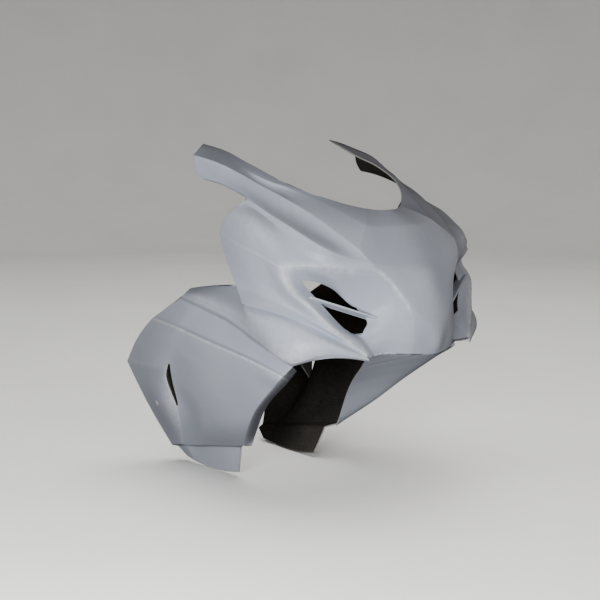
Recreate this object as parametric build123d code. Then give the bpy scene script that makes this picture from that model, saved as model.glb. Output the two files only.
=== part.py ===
from build123d import *
import os
import numpy as np

# One-piece front fairing for a sports motorcycle: nose, wings either side of the screen opening, side intakes with
# a rolled lip, and side panels whose front edge turns inwards as a web. Moulded in glass fibre, with a bonded strip
# across each intake. Millimetres, +X to the front, +Y to the rider's left, +Z up.

SKIN = 2.6            # laminate thickness
STRIP_THICK = 3.0     # intake strip, thickness
STRIP_DEPTH = 20.0    # intake strip, depth into the intake
PAD_RADIUS = 5.0      # raised round pad on each side panel
PAD_HEIGHT = 1.4      # how far the pad stands proud of the panel
STRIP_A = (231.2, -181.0, 50.3)    # right-hand strip, end at the intake lip
STRIP_B = (284.0, -79.0, 10.6)     # right-hand strip, end on the nose
PAD_CELL, PAD_V, PAD_U = (5, 0), 0.97, 0.41    # where the pad is on the side panel
LOUVRE = (-11.4, 34.5, -5.0)       # right-hand slit: from its rear edge to the free edge of the lip turned in there

# Nodes of the right-hand half, row by row, each row from the tail to the nose. The left-hand half is its mirror image.
# UPPER: r0 screen edge, r1 upper crease, r2 ridge, r3 brow over the intake, r4 to r6 intake, r7 chin crease, r8 lower edge.
UPPER = {
    "r0": [(-83.7, -149.5, 279), (-46.5, -137.5, 270.3), (12.1, -132.9, 251.1), (49.2, -133.6, 240.1), (77.3, -130.6, 229.7), (105.2, -123.3, 219.2), (137.9, -106.7, 206.3), (165.1, -85.3, 194.6), (188.1, -60, 184.8), (205.2, -38, 179), (215.5, -16, 175.9), (217.9, 0, 176.3)],
    "r0b": [(-69.8, -169, 272.2), (-26.9, -155.4, 262.2), (35.9, -151.8, 238.6), (68.2, -150.9, 228.5), (92.1, -144.4, 220.3), (113.7, -131.9, 213.5), (145, -115.3, 200.6), (177, -99.8, 186.4), (209.6, -85.2, 171.5), (241.8, -76.4, 156.7), (251.8, -36.5, 152.8), (254.2, 0, 153.8)],
    "r0c": [(-62.9, -180.7, 266.8), (-12.9, -168.7, 255.5), (43.6, -158.1, 233.4), (70, -152.5, 222.7), (93.9, -146, 214.5), (116.6, -134.5, 208.3), (152.1, -124, 194.2), (187.4, -112.8, 178.1), (220.9, -100.6, 162.1), (252.5, -91.5, 141.7), (264.3, -47, 133.8), (267.6, 0, 136.4)],
    "r1": [(-56.8, -191.9, 261.4), (0.2, -181.4, 249), (52.2, -166.4, 228.4), (77.9, -160.2, 217.2), (103.2, -154.1, 207.2), (133.4, -150.4, 196.1), (168.1, -142.8, 180.7), (203.1, -134, 162.2), (235.8, -123.6, 142.2), (264.3, -111.8, 122.1), (274.5, -55, 115.3), (281.1, 0, 119)],
    "r1b": [(-52.4, -191.4, 236.4), (9.1, -182.4, 228.7), (61.9, -174.6, 212), (86.3, -169.6, 201.7), (112.6, -164.4, 190), (143.3, -160.2, 178.8), (178, -152.8, 162.4), (215.3, -143.1, 143.2), (245.9, -126.7, 126.4), (273, -107.1, 110.7), (284.7, -54, 104.9), (290, 0, 106.7)],
    "r2": [(-35.5, -185.6, 220.1), (25.8, -187.5, 211.9), (77.8, -187.9, 196.5), (105.5, -186.9, 185.8), (136.9, -185.4, 172.7), (169.1, -184.1, 161.3), (203.5, -176.9, 145.1), (239.8, -163.8, 126.4), (259.6, -133.2, 111.3), (279.2, -102.2, 102.2), (291.7, -52, 94.3), (298.9, 0, 94.5)],
    "r2a": [None, None, (74.3, -193.4, 189.6), (106.1, -189.5, 178.3), (138.3, -188.7, 164.4), (173.1, -189.7, 147.1), (208.3, -183.3, 127.5), (243.4, -167.1, 114.5), (262.5, -132.7, 103.2), (283.2, -97.3, 95.1), (295.6, -50.3, 88.1), (302.8, 0, 88.4)],
    "r2b": [None, None, (55.4, -204.4, 174.1), (118.5, -208.4, 161.7), (152.5, -208.2, 143.6), (183.6, -201.1, 123.6), (212.8, -186.4, 112.5), (244.2, -165.6, 104.3), (263.7, -130.6, 95.3), (286.8, -92, 89.4), (299, -48, 81.9), (306.7, 0, 82.3)],
    "r3": [None, None, (34, -207.4, 139.1), (94.5, -214.8, 121.7), (144.1, -214.8, 110.1), (188.9, -212, 96.7), (213.8, -192.5, 99), (244.7, -168.3, 99.1), (263, -127.7, 89.5), (292.5, -82, 80.4), (305.3, -43, 70.1), (313.6, 0, 66.9)],
    "r4": [None, None, (42, -207.9, 111.7), (109.7, -215.1, 97.3), (159.3, -211.3, 82.6), (199.5, -204.8, 72), (203.3, -178.9, 73.9), (220.2, -134.3, 59.4), (250.3, -105.9, 27.8), (301, -68, 61.7), (313, -37, 52), (320.5, 0, 46.6)],
    "r5": [None, None, (53.1, -208.6, 91.3), (124.3, -212.9, 74.4), (163.9, -207.1, 62.8), (232, -192.2, 43), (229, -164.1, 41.2), None, (265.7, -96.4, 4.5), (309.1, -58, 44.1), (320.4, -33, 31.6), (326.9, 0, 24.6)],
    "r6": [None, None, (67.8, -210.2, 71.6), (141.8, -211.1, 56.8), (180.7, -202.9, 43.6), (254.6, -166.5, 9.1), (253.9, -134.5, -1.5), (255.6, -117.4, -11.1), (266.8, -106.2, -10.2), (316.1, -49, 23.2), (325.9, -28, 9.2), (331.1, 0, 2.5)],
    "r7": [None, None, (82.4, -211.8, 50.2), (161.3, -209.1, 41.1), (197.5, -198.9, 29.2), (275.2, -143, -17.1), (277.5, -123.3, -20.3), (276.4, -109, -24.5), (282.7, -95.3, -20.5), (318.9, -44, -28.4), (324.2, -24, -33.5), (330.2, 0, -37.8)],
    "r7b": [None, None, (84, -207, 35.1), (169.1, -202.9, 27.6), (203.7, -192.9, 19), (285.8, -131, -30.5), (288.4, -119.5, -33.9), (285.5, -106.6, -36.9), (286.3, -93.3, -35.7), (316.3, -45.2, -39.8), (323.2, -23.4, -42.8), (327.3, 0, -45.6)],
    "r8": [None, None, (85.8, -204.4, 25.2), (170.1, -195.8, 17.5), (206.5, -185.9, 9.8), (292.9, -123, -39.4), (295.7, -117, -43), (291.5, -105, -45.2), (288.7, -92, -45.8), (314.6, -46, -47.4), (322.5, -23, -49), (325.3, 0, -50.8)],
}
BAND = {
    "v0": [(-94.3, -173.7, 28.5), (-70.8, -167.5, 33.5), (-53.4, -165.7, 36.6), (37.9, -158.3, 48.4), (85.8, -204.4, 25.2), (170.1, -195.8, 17.5), (206.5, -185.9, 9.8), (292.9, -123, -39.4)],
    "v0b": [(-93.6, -179.7, 24.8), (-56.4, -183, 28.4), (-35.1, -183.3, 29.1), (57.7, -187.7, 23.3), (111.3, -216.1, 15.6), (189.2, -208.3, 9.4), (228.7, -189.1, -2), (293.6, -121.5, -42.2)],
    "v1": [(-94.4, -184.6, 20.8), (-46.7, -194.9, 22.1), (-22.8, -196.2, 19.8), (64.4, -201.8, 9), (129.6, -220, 3), (204.2, -213.3, -11.8), (249.6, -185.1, -16.2), (294.8, -120.5, -45)],
    "v1c": [(-102.3, -186.4, 15.4), (-47, -197.8, 12.5), (-23.4, -199.1, 9.1), (56, -203.7, -4.3), (135.1, -213.9, -26.6), (215.9, -210.8, -52.7), (259, -179, -34.5), (295.6, -119.7, -48.4)],
    "v2": [(-115.1, -180.2, 10.9), (-65.3, -185.2, 4), (-43.3, -184.9, -0.2), (34.8, -188.6, -13.2), (119, -198.7, -35.5), (208.4, -202.4, -60.5), (255.3, -173.3, -44.6), (295.6, -119, -49.9)],
}
SIDE = {
    "v2": [(-115.1, -180.2, 10.9), (-65.3, -185.2, 4), (-43.3, -184.9, -0.2), (34.8, -188.6, -13.2), (119, -198.7, -35.5), (208.4, -202.4, -60.5), (85.6, -84, -103.7)],
    "v2c": [(-193, -182.9, -34.6), (-96.6, -198.7, -36.9), (-73.8, -198.4, -40), (11.6, -200.1, -50.9), (104.2, -201.4, -62.7), (186.4, -202.8, -77.8), (69.7, -87.4, -122.9)],
    "v3": [(-197, -182.9, -36.8), (-95.8, -202, -39.2), (-71.4, -203, -42), (15.7, -206, -52.7), (109.6, -208, -64.6), (187.3, -207, -79.4), (66.9, -88, -126.3)],
    "v3b": [(-255.9, -175.7, -82.7), (-124.6, -196.6, -77.8), (-103.9, -196.7, -78.4), (-2, -199, -92.5), (80.4, -199, -101.4), (151.4, -197, -106.5), (47.9, -92, -145.7)],
    "v4": [(-301.9, -167.7, -134.3), (-142.1, -188.9, -112.3), (-138.2, -188.1, -110.7), (-25.3, -190, -130.7), (54.8, -189, -132.8), (114.5, -187, -134.5), (29.8, -97, -165.8)],
    "v4b": [(-288.6, -161.6, -162), (-157.1, -182.3, -136.6), (-144.9, -180, -137.7), (-43, -181, -160), (30.1, -180, -161.1), (84.5, -177, -158.5), (17.1, -100, -185.5)],
    "v5": [(-266.1, -148.8, -210.3), (-151.2, -165, -193.9), (-150.5, -161.7, -194), (-63, -166, -200.2), (-1, -164, -199.5), (44.4, -158, -195.3), (2.9, -102, -216.7)],
    "v6": [(-237.1, -113.4, -294.6), (-195.1, -121.2, -283.2), (-186.9, -119.1, -283.2), (-117.5, -120, -269.4), (-63.4, -119, -259.2), (-20.3, -115, -251.7), (-11.4, -104, -251.9)],
    "v6b": [(-234.3, -101, -298.4), (-193.1, -108.2, -287.2), (-184.9, -106.1, -287.2), (-115.5, -107, -273.4), (-71.4, -106.5, -265.2), (-42.3, -103, -260.7), None],
    "v7": [(-214.1, -95.7, -314.7), (-187.5, -97, -318.5), (-178.3, -97, -319.4), (-138.4, -95, -321.7), (-95.3, -94, -319.1), (-61.8, -93, -312.8), None],
}


def unit(v):
    n = np.linalg.norm(v)
    return v / n if n > 1e-9 else v


def mirror_cols(table, drop_last=False):
    """The other hand of a table: y changes sign and the columns run the other way."""
    out = {}
    for r, row in table.items():
        src = row[:-1] if drop_last else row
        out[r] = [None if p is None else (p[0], -p[1], p[2]) for p in reversed(src)]
    return out


class Sheet:
    """A net of nodes in rows and columns. Each present cell is one bicubic patch, and neighbours share their edge curves."""

    def __init__(self, table, row_crease, col_crease, gone):
        self.rows = list(table)
        self.n, self.m = len(self.rows), len(table[self.rows[0]])
        self.P = [[None if p is None else np.array(p, float) for p in table[r]] for r in self.rows]
        self.rc, self.cc = row_crease, col_crease
        self.cells = [
            (i, j)
            for i in range(self.n - 1)
            for j in range(self.m - 1)
            if (i, j) not in gone and all(self.P[a][b] is not None for a, b in ((i, j), (i + 1, j), (i, j + 1), (i + 1, j + 1)))
        ]

    def line_tangents(self, pts, weight):
        """Left and right tangents per unit length along one line of nodes, with None where the line is broken."""
        n = len(pts)
        left, right = [None] * n, [None] * n
        k = 0
        while k < n:
            if pts[k] is None:
                k += 1
                continue
            e = k
            while e + 1 < n and pts[e + 1] is not None:
                e += 1
            self._run(pts, weight, k, e, left, right)
            k = e + 1
        return left, right

    def _run(self, pts, weight, a, b, left, right):
        if a == b:
            left[a] = right[a] = np.zeros(3)
            return

        def solve(k0, k1):
            h = [max(np.linalg.norm(pts[k + 1] - pts[k]), 1e-6) for k in range(k0, k1)]
            d = [(pts[k0 + q + 1] - pts[k0 + q]) / h[q] for q in range(len(h))]
            t = [None] * (k1 - k0 + 1)
            for q in range(1, k1 - k0):
                t[q] = (d[q - 1] * h[q] + d[q] * h[q - 1]) / (h[q - 1] + h[q])
            if k1 - k0 == 1:
                t[0] = t[1] = d[0]
            else:
                t[0] = 1.5 * d[0] - 0.5 * t[1]
                t[-1] = 1.5 * d[-1] - 0.5 * t[-2]
            return t

        smooth = solve(a, b)
        cuts = [a] + [k for k in range(a + 1, b) if weight(k) > 0] + [b]
        one_l, one_r = {}, {}
        for k0, k1 in zip(cuts[:-1], cuts[1:]):
            t = solve(k0, k1)
            for q, k in enumerate(range(k0, k1 + 1)):
                one_l[k] = t[q] if k > k0 else one_l.get(k, t[q])
                if k < k1 or k == b:
                    one_r[k] = t[q]
        for k in range(a, b + 1):
            w = weight(k) if a < k < b else 0.0
            s = smooth[k - a]
            if k == a:
                left[k] = right[k] = one_r[k]
            elif k == b:
                left[k] = right[k] = one_l[k]
            else:
                left[k] = (1 - w) * s + w * one_l[k]
                right[k] = (1 - w) * s + w * one_r[k]

    def solve_tangents(self):
        # along rows (column direction) and along columns (row direction)
        self.ur = [self.line_tangents(self.P[i], lambda k, i=i: self.cc(i, k)) for i in range(self.n)]
        self.vc = [self.line_tangents([self.P[i][j] for i in range(self.n)], lambda k, j=j: self.rc(k, j)) for j in range(self.m)]

    def patch(self, i, j):
        """4 x 4 control points of one cell, first index down the rows, second along the columns."""
        P = self.P
        b = [[None] * 4 for _ in range(4)]
        b[0][0], b[0][3], b[3][0], b[3][3] = P[i][j], P[i][j + 1], P[i + 1][j], P[i + 1][j + 1]
        for r, (row, k) in enumerate(((i, 0), (i + 1, 3))):
            h = np.linalg.norm(P[row][j + 1] - P[row][j]) / 3
            b[k][1] = P[row][j] + self.ur[row][1][j] * h
            b[k][2] = P[row][j + 1] - self.ur[row][0][j + 1] * h
        for col, k in ((j, 0), (j + 1, 3)):
            h = np.linalg.norm(P[i + 1][col] - P[i][col]) / 3
            b[1][k] = P[i][col] + self.vc[col][1][i] * h
            b[2][k] = P[i + 1][col] - self.vc[col][0][i + 1] * h
        b[1][1] = b[0][1] + b[1][0] - b[0][0]
        b[1][2] = b[0][2] + b[1][3] - b[0][3]
        b[2][1] = b[3][1] + b[2][0] - b[3][0]
        b[2][2] = b[3][2] + b[2][3] - b[3][3]
        return b

    def corner_normals(self):
        out = []
        for i, j in self.cells:
            b = self.patch(i, j)
            for a, c, da, dc, ni, nj in ((0, 0, 1, 1, i, j), (0, 3, 1, -1, i, j + 1), (3, 0, -1, 1, i + 1, j), (3, 3, -1, -1, i + 1, j + 1)):
                tv = (b[a + da][c] - b[a][c]) * da
                tu = (b[a][c + dc] - b[a][c]) * dc
                out.append(((ni, nj), unit(np.cross(tv, tu))))
        return out


def key(p):
    return (round(float(p[0]), 2), round(float(p[1]), 2), round(float(p[2]), 2))


def louvre(sheet, i, j, free, tip):
    """Two patches in the slit, cells (i, j) and (i + 1, j): hinged on one side of it, with the free edge turned in to tip."""
    two = [sheet.patch(i, j), sheet.patch(i + 1, j)]
    hinge = 3 - free
    along = unit(two[1][3][free] - two[0][0][free])
    for b, end, at, sign in ((two[0], 0, 3, -1), (two[1], 3, 0, 1)):
        far, fixed = b[end][free], b[at][hinge]
        h = np.linalg.norm(tip - far) / 3
        b[at][free] = tip
        for c in (1, 2):
            w = (c if free == 3 else 3 - c) / 3
            b[at][c] = fixed + (tip - fixed) * w
        b[2 if at == 3 else 1][free] = tip + along * h * sign
        b[1 if at == 3 else 2][free] = far + (tip - far) / 3
        b[1][1] = b[0][1] + b[1][0] - b[0][0]
        b[1][2] = b[0][2] + b[1][3] - b[0][3]
        b[2][1] = b[3][1] + b[2][0] - b[3][0]
        b[2][2] = b[3][2] + b[2][3] - b[3][3]
    return two


def slit_louvres(sheets):
    """Sheet, first cell, free side and tip of the turned-in lip in each slit."""
    tip = np.array(LOUVRE)
    far = SIDE_COLS - 3
    return [(2, 4, 1, 3, sheets[2].P[5][1] + tip), (4, 4, far, 0, sheets[4].P[5][far + 1] + tip * np.array([1, -1, 1]))]


def offset_nodes(sheets, t):
    """Each node moved inwards by the skin's thickness, with a mitre at the creases. Shared nodes move together."""
    normals = {}
    for s in sheets:
        s.solve_tangents()
        for (i, j), n in s.corner_normals():
            normals.setdefault(key(s.P[i][j]), []).append(n)
    for s, i, j, free, tip in slit_louvres(sheets):
        for b in louvre(sheets[s], i, j, free, tip):
            for a, c, da, dc in ((0, 0, 1, 1), (0, 3, 1, -1), (3, 0, -1, 1), (3, 3, -1, -1)):
                n = np.cross((b[a + da][c] - b[a][c]) * da, (b[a][c + dc] - b[a][c]) * dc)
                normals.setdefault(key(b[a][c]), []).append(unit(n))
    move = {}
    for k, ns in normals.items():
        mean = unit(sum(ns))
        a = sum(np.outer(n, n) for n in ns) / len(ns) + 0.12 * np.eye(3)
        d = np.linalg.solve(a, -(sum(ns) / len(ns) + 0.12 * mean) * t)
        if np.linalg.norm(d) > 1.5 * t:
            d = unit(d) * 1.5 * t
        move[k] = d
    return move


def bezier(rows):
    return Face.make_bezier_surface([[tuple(float(c) for c in p) for p in row] for row in rows])


def moulding(sheets, t):
    """One closed skin: the outside patches, the inside patches and a ruled strip along every free edge."""
    move = offset_nodes(sheets, t)
    inner = []
    for s in sheets:
        q = Sheet.__new__(Sheet)
        q.rows, q.n, q.m, q.rc, q.cc, q.cells = s.rows, s.n, s.m, s.rc, s.cc, s.cells
        q.P = [[None if p is None else (p + move[key(p)] if key(p) in move else p) for p in row] for row in s.P]
        q.solve_tangents()
        inner.append(q)
    faces, edges = [], {}
    patches = [(s.patch(i, j), q.patch(i, j)) for s, q in zip(sheets, inner) for i, j in s.cells]
    for s, i, j, free, tip in slit_louvres(sheets):
        patches += zip(louvre(sheets[s], i, j, free, tip), louvre(inner[s], i, j, free, tip + move[key(tip)]))
    for bo, bi in patches:
        faces.append(bezier(bo))
        faces.append(bezier([list(reversed(r)) for r in bi]))
        for side in (0, 1, 2, 3):
            if side == 0:
                eo, ei = bo[0], bi[0]
            elif side == 1:
                eo, ei = [r[3] for r in bo], [r[3] for r in bi]
            elif side == 2:
                eo, ei = bo[3][::-1], bi[3][::-1]
            else:
                eo, ei = [r[0] for r in bo][::-1], [r[0] for r in bi][::-1]
            k = tuple(sorted((key(eo[0]), key(eo[3]))))
            edges.setdefault(k, []).append((eo, ei))
    for k, lst in edges.items():
        if len(lst) == 1:
            eo, ei = lst[0]
            faces.append(bezier([ei, eo]))
    return faces, inner


# Where the sheets are creased: 1 is a sharp line, 0 is smooth.
UPPER_ROW_CREASE = {
    "r0b": [0, 0, 0.3, 0.8, 0.8, 0.6, 0.3, 0, 0, 0, 0, 0],
    "r1": [1, 1, 1, 1, 1, 1, 0.85, 0.7, 0.5, 0.3, 0, 0],
    "r2": [0, 0, 0.7, 0.9, 0.9, 0.9, 0.8, 0.5, 0.2, 0, 0, 0],
    "r2a": [0, 0, 0.7, 0.9, 0.9, 0.8, 0.6, 0.2, 0, 0, 0, 0],
    "r3": [0, 0, 0.2, 0.4, 0.7, 1, 0.8, 0.6, 0.4, 0, 0, 0],
    "r7": [0, 0, 0, 0, 0, 0, 0, 0, 0.6, 0.6, 0.4, 0.3],
}
UPPER_COL_CREASE = {
    5: {"r3": 0.5, "r4": 0.2, "r5": 0.1, "r6": 0.1, "r7": 0.3, "r7b": 0.7, "r8": 1},
    9: {"r1": 0.5, "r1b": 0.7, "r2": 0.7, "r2a": 0.7, "r2b": 0.7, "r3": 0.7, "r4": 0.65, "r5": 0.55, "r6": 0.35, "r7": 0.1},
}
SIDE_ROW_CREASE = {"v2c": 0.7, "v3": 0.9, "v6": 1, "v6b": 1}
SIDE_COL_CREASE = {1: 0.4, 2: 0.4, 5: 0.5}
SLIT_CELLS = {(4, 1), (5, 1)}
UPPER_COLS = 12
SIDE_COLS = 7
BAND_COLS = 8

UPPER_ROWS, BAND_ROWS, SIDE_ROWS = list(UPPER), list(BAND), list(SIDE)


def upper_rc(i, j):
    jj = min(j, 2 * UPPER_COLS - 2 - j)
    return UPPER_ROW_CREASE.get(UPPER_ROWS[i], [0] * UPPER_COLS)[jj]


def upper_cc(i, j):
    jj = min(j, 2 * UPPER_COLS - 2 - j)
    return UPPER_COL_CREASE.get(jj, {}).get(UPPER_ROWS[i], 0)


def band_rc(i, j):
    if BAND_ROWS[i] == "v1":
        return (0.4, 0.4, 0.4, 0.3, 0, 0, 0, 0)[j]
    return 0.4 if BAND_ROWS[i] == "v1c" else 0


def band_cc(i, j):
    if BAND_ROWS[i] == "v0":
        return 1 if j in (3, 4) else 0
    if BAND_ROWS[i] == "v2":
        return 1 if j == 5 else 0
    return 0


def side_rc(i, j):
    if SIDE_ROWS[i] == "v4":
        return 1 if j == 0 else 0
    if SIDE_ROWS[i] == "v3" and j >= 5:
        return 0.5 if j == 5 else 0
    return SIDE_ROW_CREASE.get(SIDE_ROWS[i], 0)


def side_cc(i, j):
    if SIDE_ROWS[i] == "v2":
        return 1 if j == 5 else 0
    return SIDE_COL_CREASE.get(j, 0)


def flip(f, cols):
    return lambda i, j: f(i, cols - 1 - j)


def build_sheets(shift):
    def moved(t):
        return {r: [None if p is None else tuple(np.array(p) - shift) for p in row] for r, row in t.items()}

    up, band, side = moved(UPPER), moved(BAND), moved(SIDE)
    other = mirror_cols(up, drop_last=True)
    both = {r: up[r] + other[r] for r in up}
    return [
        Sheet(both, upper_rc, upper_cc, set()),
        Sheet(band, band_rc, band_cc, set()),
        Sheet(side, side_rc, side_cc, SLIT_CELLS),
        Sheet(mirror_cols(band), flip(band_rc, BAND_COLS), flip(band_cc, BAND_COLS), set()),
        Sheet(mirror_cols(side), flip(side_rc, SIDE_COLS), flip(side_cc, SIDE_COLS), {(i, SIDE_COLS - 2 - j) for i, j in SLIT_CELLS}),
    ]


def strip_blank(a, b, into, up):
    """A flat strip from point a to point b, going STRIP_DEPTH in the direction into, before it is trimmed to the skin."""
    along = unit(b - a)
    into = unit(into - along * float(np.dot(into, along)))
    n = unit(np.cross(along, into))
    if np.dot(n, up) < 0:
        n = -n
    a = a - along * 9.0 - n * STRIP_THICK / 2
    b = b - n * STRIP_THICK / 2
    pts = [a, b, b + into * STRIP_DEPTH, a + into * STRIP_DEPTH]
    face = Face(Wire.make_polygon([tuple(map(float, p)) for p in pts], close=True))
    return extrude(face, amount=STRIP_THICK, dir=tuple(map(float, n)))


os.makedirs("parts", exist_ok=True)

# The origin is the middle of the inner face of the nose, where the fairing stay is bonded.
sheets = build_sheets(np.zeros(3))
move = offset_nodes(sheets, SKIN)
stay = sheets[0].P[UPPER_ROWS.index("r3")][UPPER_COLS - 1]
origin = stay + move[key(stay)]
origin[1] = 0.0
sheets = build_sheets(origin)
faces, inner = moulding(sheets, SKIN)
skin = Solid(Shell(faces))
if skin.volume < 0:
    skin = Solid(Shell([-f for f in faces]))

def point_on(sheet, cell, v, u):
    """A point and the outward normal on one patch of a sheet."""
    b = np.array(sheet.patch(*cell))

    def basis(t):
        return np.array([(1 - t) ** 3, 3 * t * (1 - t) ** 2, 3 * t * t * (1 - t), t ** 3])

    def slope(t):
        return np.array([-3 * (1 - t) ** 2, 3 * (1 - t) ** 2 - 6 * t * (1 - t), 6 * t * (1 - t) - 3 * t * t, 3 * t * t])

    p = np.einsum("i,j,ijk", basis(v), basis(u), b)
    dv = np.einsum("i,j,ijk", slope(v), basis(u), b)
    du = np.einsum("i,j,ijk", basis(v), slope(u), b)
    return p, unit(np.cross(dv, du))


def biggest(shape):
    return max(shape.solids(), key=lambda q: q.volume)


# Round pad on the rear strip of each side panel.
p, n = point_on(sheets[2], PAD_CELL, PAD_V, PAD_U)
base = p - n * (SKIN * 0.6)
pad = Solid.make_cylinder(PAD_RADIUS, PAD_HEIGHT + SKIN * 0.6, Plane(origin=tuple(map(float, base)), z_dir=tuple(map(float, n))))
print("pad top", p + n * PAD_HEIGHT, "normal", n)
skin = biggest(skin.fuse(pad))
skin = biggest(skin.fuse(pad.mirror(Plane.XZ)))
print("skin", skin.is_valid, skin.volume, skin.bounding_box())

# Strip across each intake, trimmed to the skin so that it only touches it.
hole = [np.array(q) - origin for q in (UPPER["r4"][6], UPPER["r6"][6], UPPER["r5"][8])]
out = unit(np.cross(hole[1] - hole[0], hole[2] - hole[0]))
if out[1] > 0:
    out = -out
blank = strip_blank(np.array(STRIP_A) - origin, np.array(STRIP_B) - origin, -out, np.array([0.0, 0.0, 1.0]))
strip = biggest(blank - skin)
print("strip", strip.is_valid, strip.volume, [round(q.volume, 1) for q in (blank - skin).solids()], strip.bounding_box())
print("overlap", sum(q.volume for q in (strip & skin).solids()) if (strip & skin) is not None else 0)
export_step(skin, "parts/fairing_skin.step")
export_step(strip, "parts/right_intake_strip.step")
export_step(strip.mirror(Plane.XZ), "parts/left_intake_strip.step")
print("origin", origin)
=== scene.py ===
import math
import bpy
import numpy as np
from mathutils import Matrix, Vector


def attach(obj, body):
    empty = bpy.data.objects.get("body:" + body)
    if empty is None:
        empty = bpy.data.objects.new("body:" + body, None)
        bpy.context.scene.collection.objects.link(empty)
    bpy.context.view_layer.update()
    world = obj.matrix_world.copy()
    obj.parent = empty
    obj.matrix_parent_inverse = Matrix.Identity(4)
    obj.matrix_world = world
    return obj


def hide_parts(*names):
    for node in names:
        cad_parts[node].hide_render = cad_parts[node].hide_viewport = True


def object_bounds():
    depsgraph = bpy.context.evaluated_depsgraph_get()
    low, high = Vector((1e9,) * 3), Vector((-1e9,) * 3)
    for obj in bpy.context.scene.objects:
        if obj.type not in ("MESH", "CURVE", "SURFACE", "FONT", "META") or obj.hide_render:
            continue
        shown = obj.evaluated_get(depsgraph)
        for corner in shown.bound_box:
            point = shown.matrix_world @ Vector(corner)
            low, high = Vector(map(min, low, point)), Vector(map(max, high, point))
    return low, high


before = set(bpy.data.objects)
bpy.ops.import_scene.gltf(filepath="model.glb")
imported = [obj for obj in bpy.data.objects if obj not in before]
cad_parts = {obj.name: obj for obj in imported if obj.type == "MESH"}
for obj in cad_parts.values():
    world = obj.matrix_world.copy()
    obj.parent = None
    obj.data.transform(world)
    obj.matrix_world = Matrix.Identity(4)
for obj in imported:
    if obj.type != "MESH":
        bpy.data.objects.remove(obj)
cad_low, cad_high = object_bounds()

# Unpainted glass-fibre fairing: one thin skin, gel coat outside and raw laminate inside, with a strip across each intake.
# The nodes are in millimetres, in the model's own axes before the origin is moved to the stay pad inside the nose.
ORIGIN = np.array([311.18549207, 0.0, 65.9355564])
SKIN = 2.6
FAIR, ROUND = 60, 1            # passes of fairing between creases, and of rounding the creases

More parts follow.
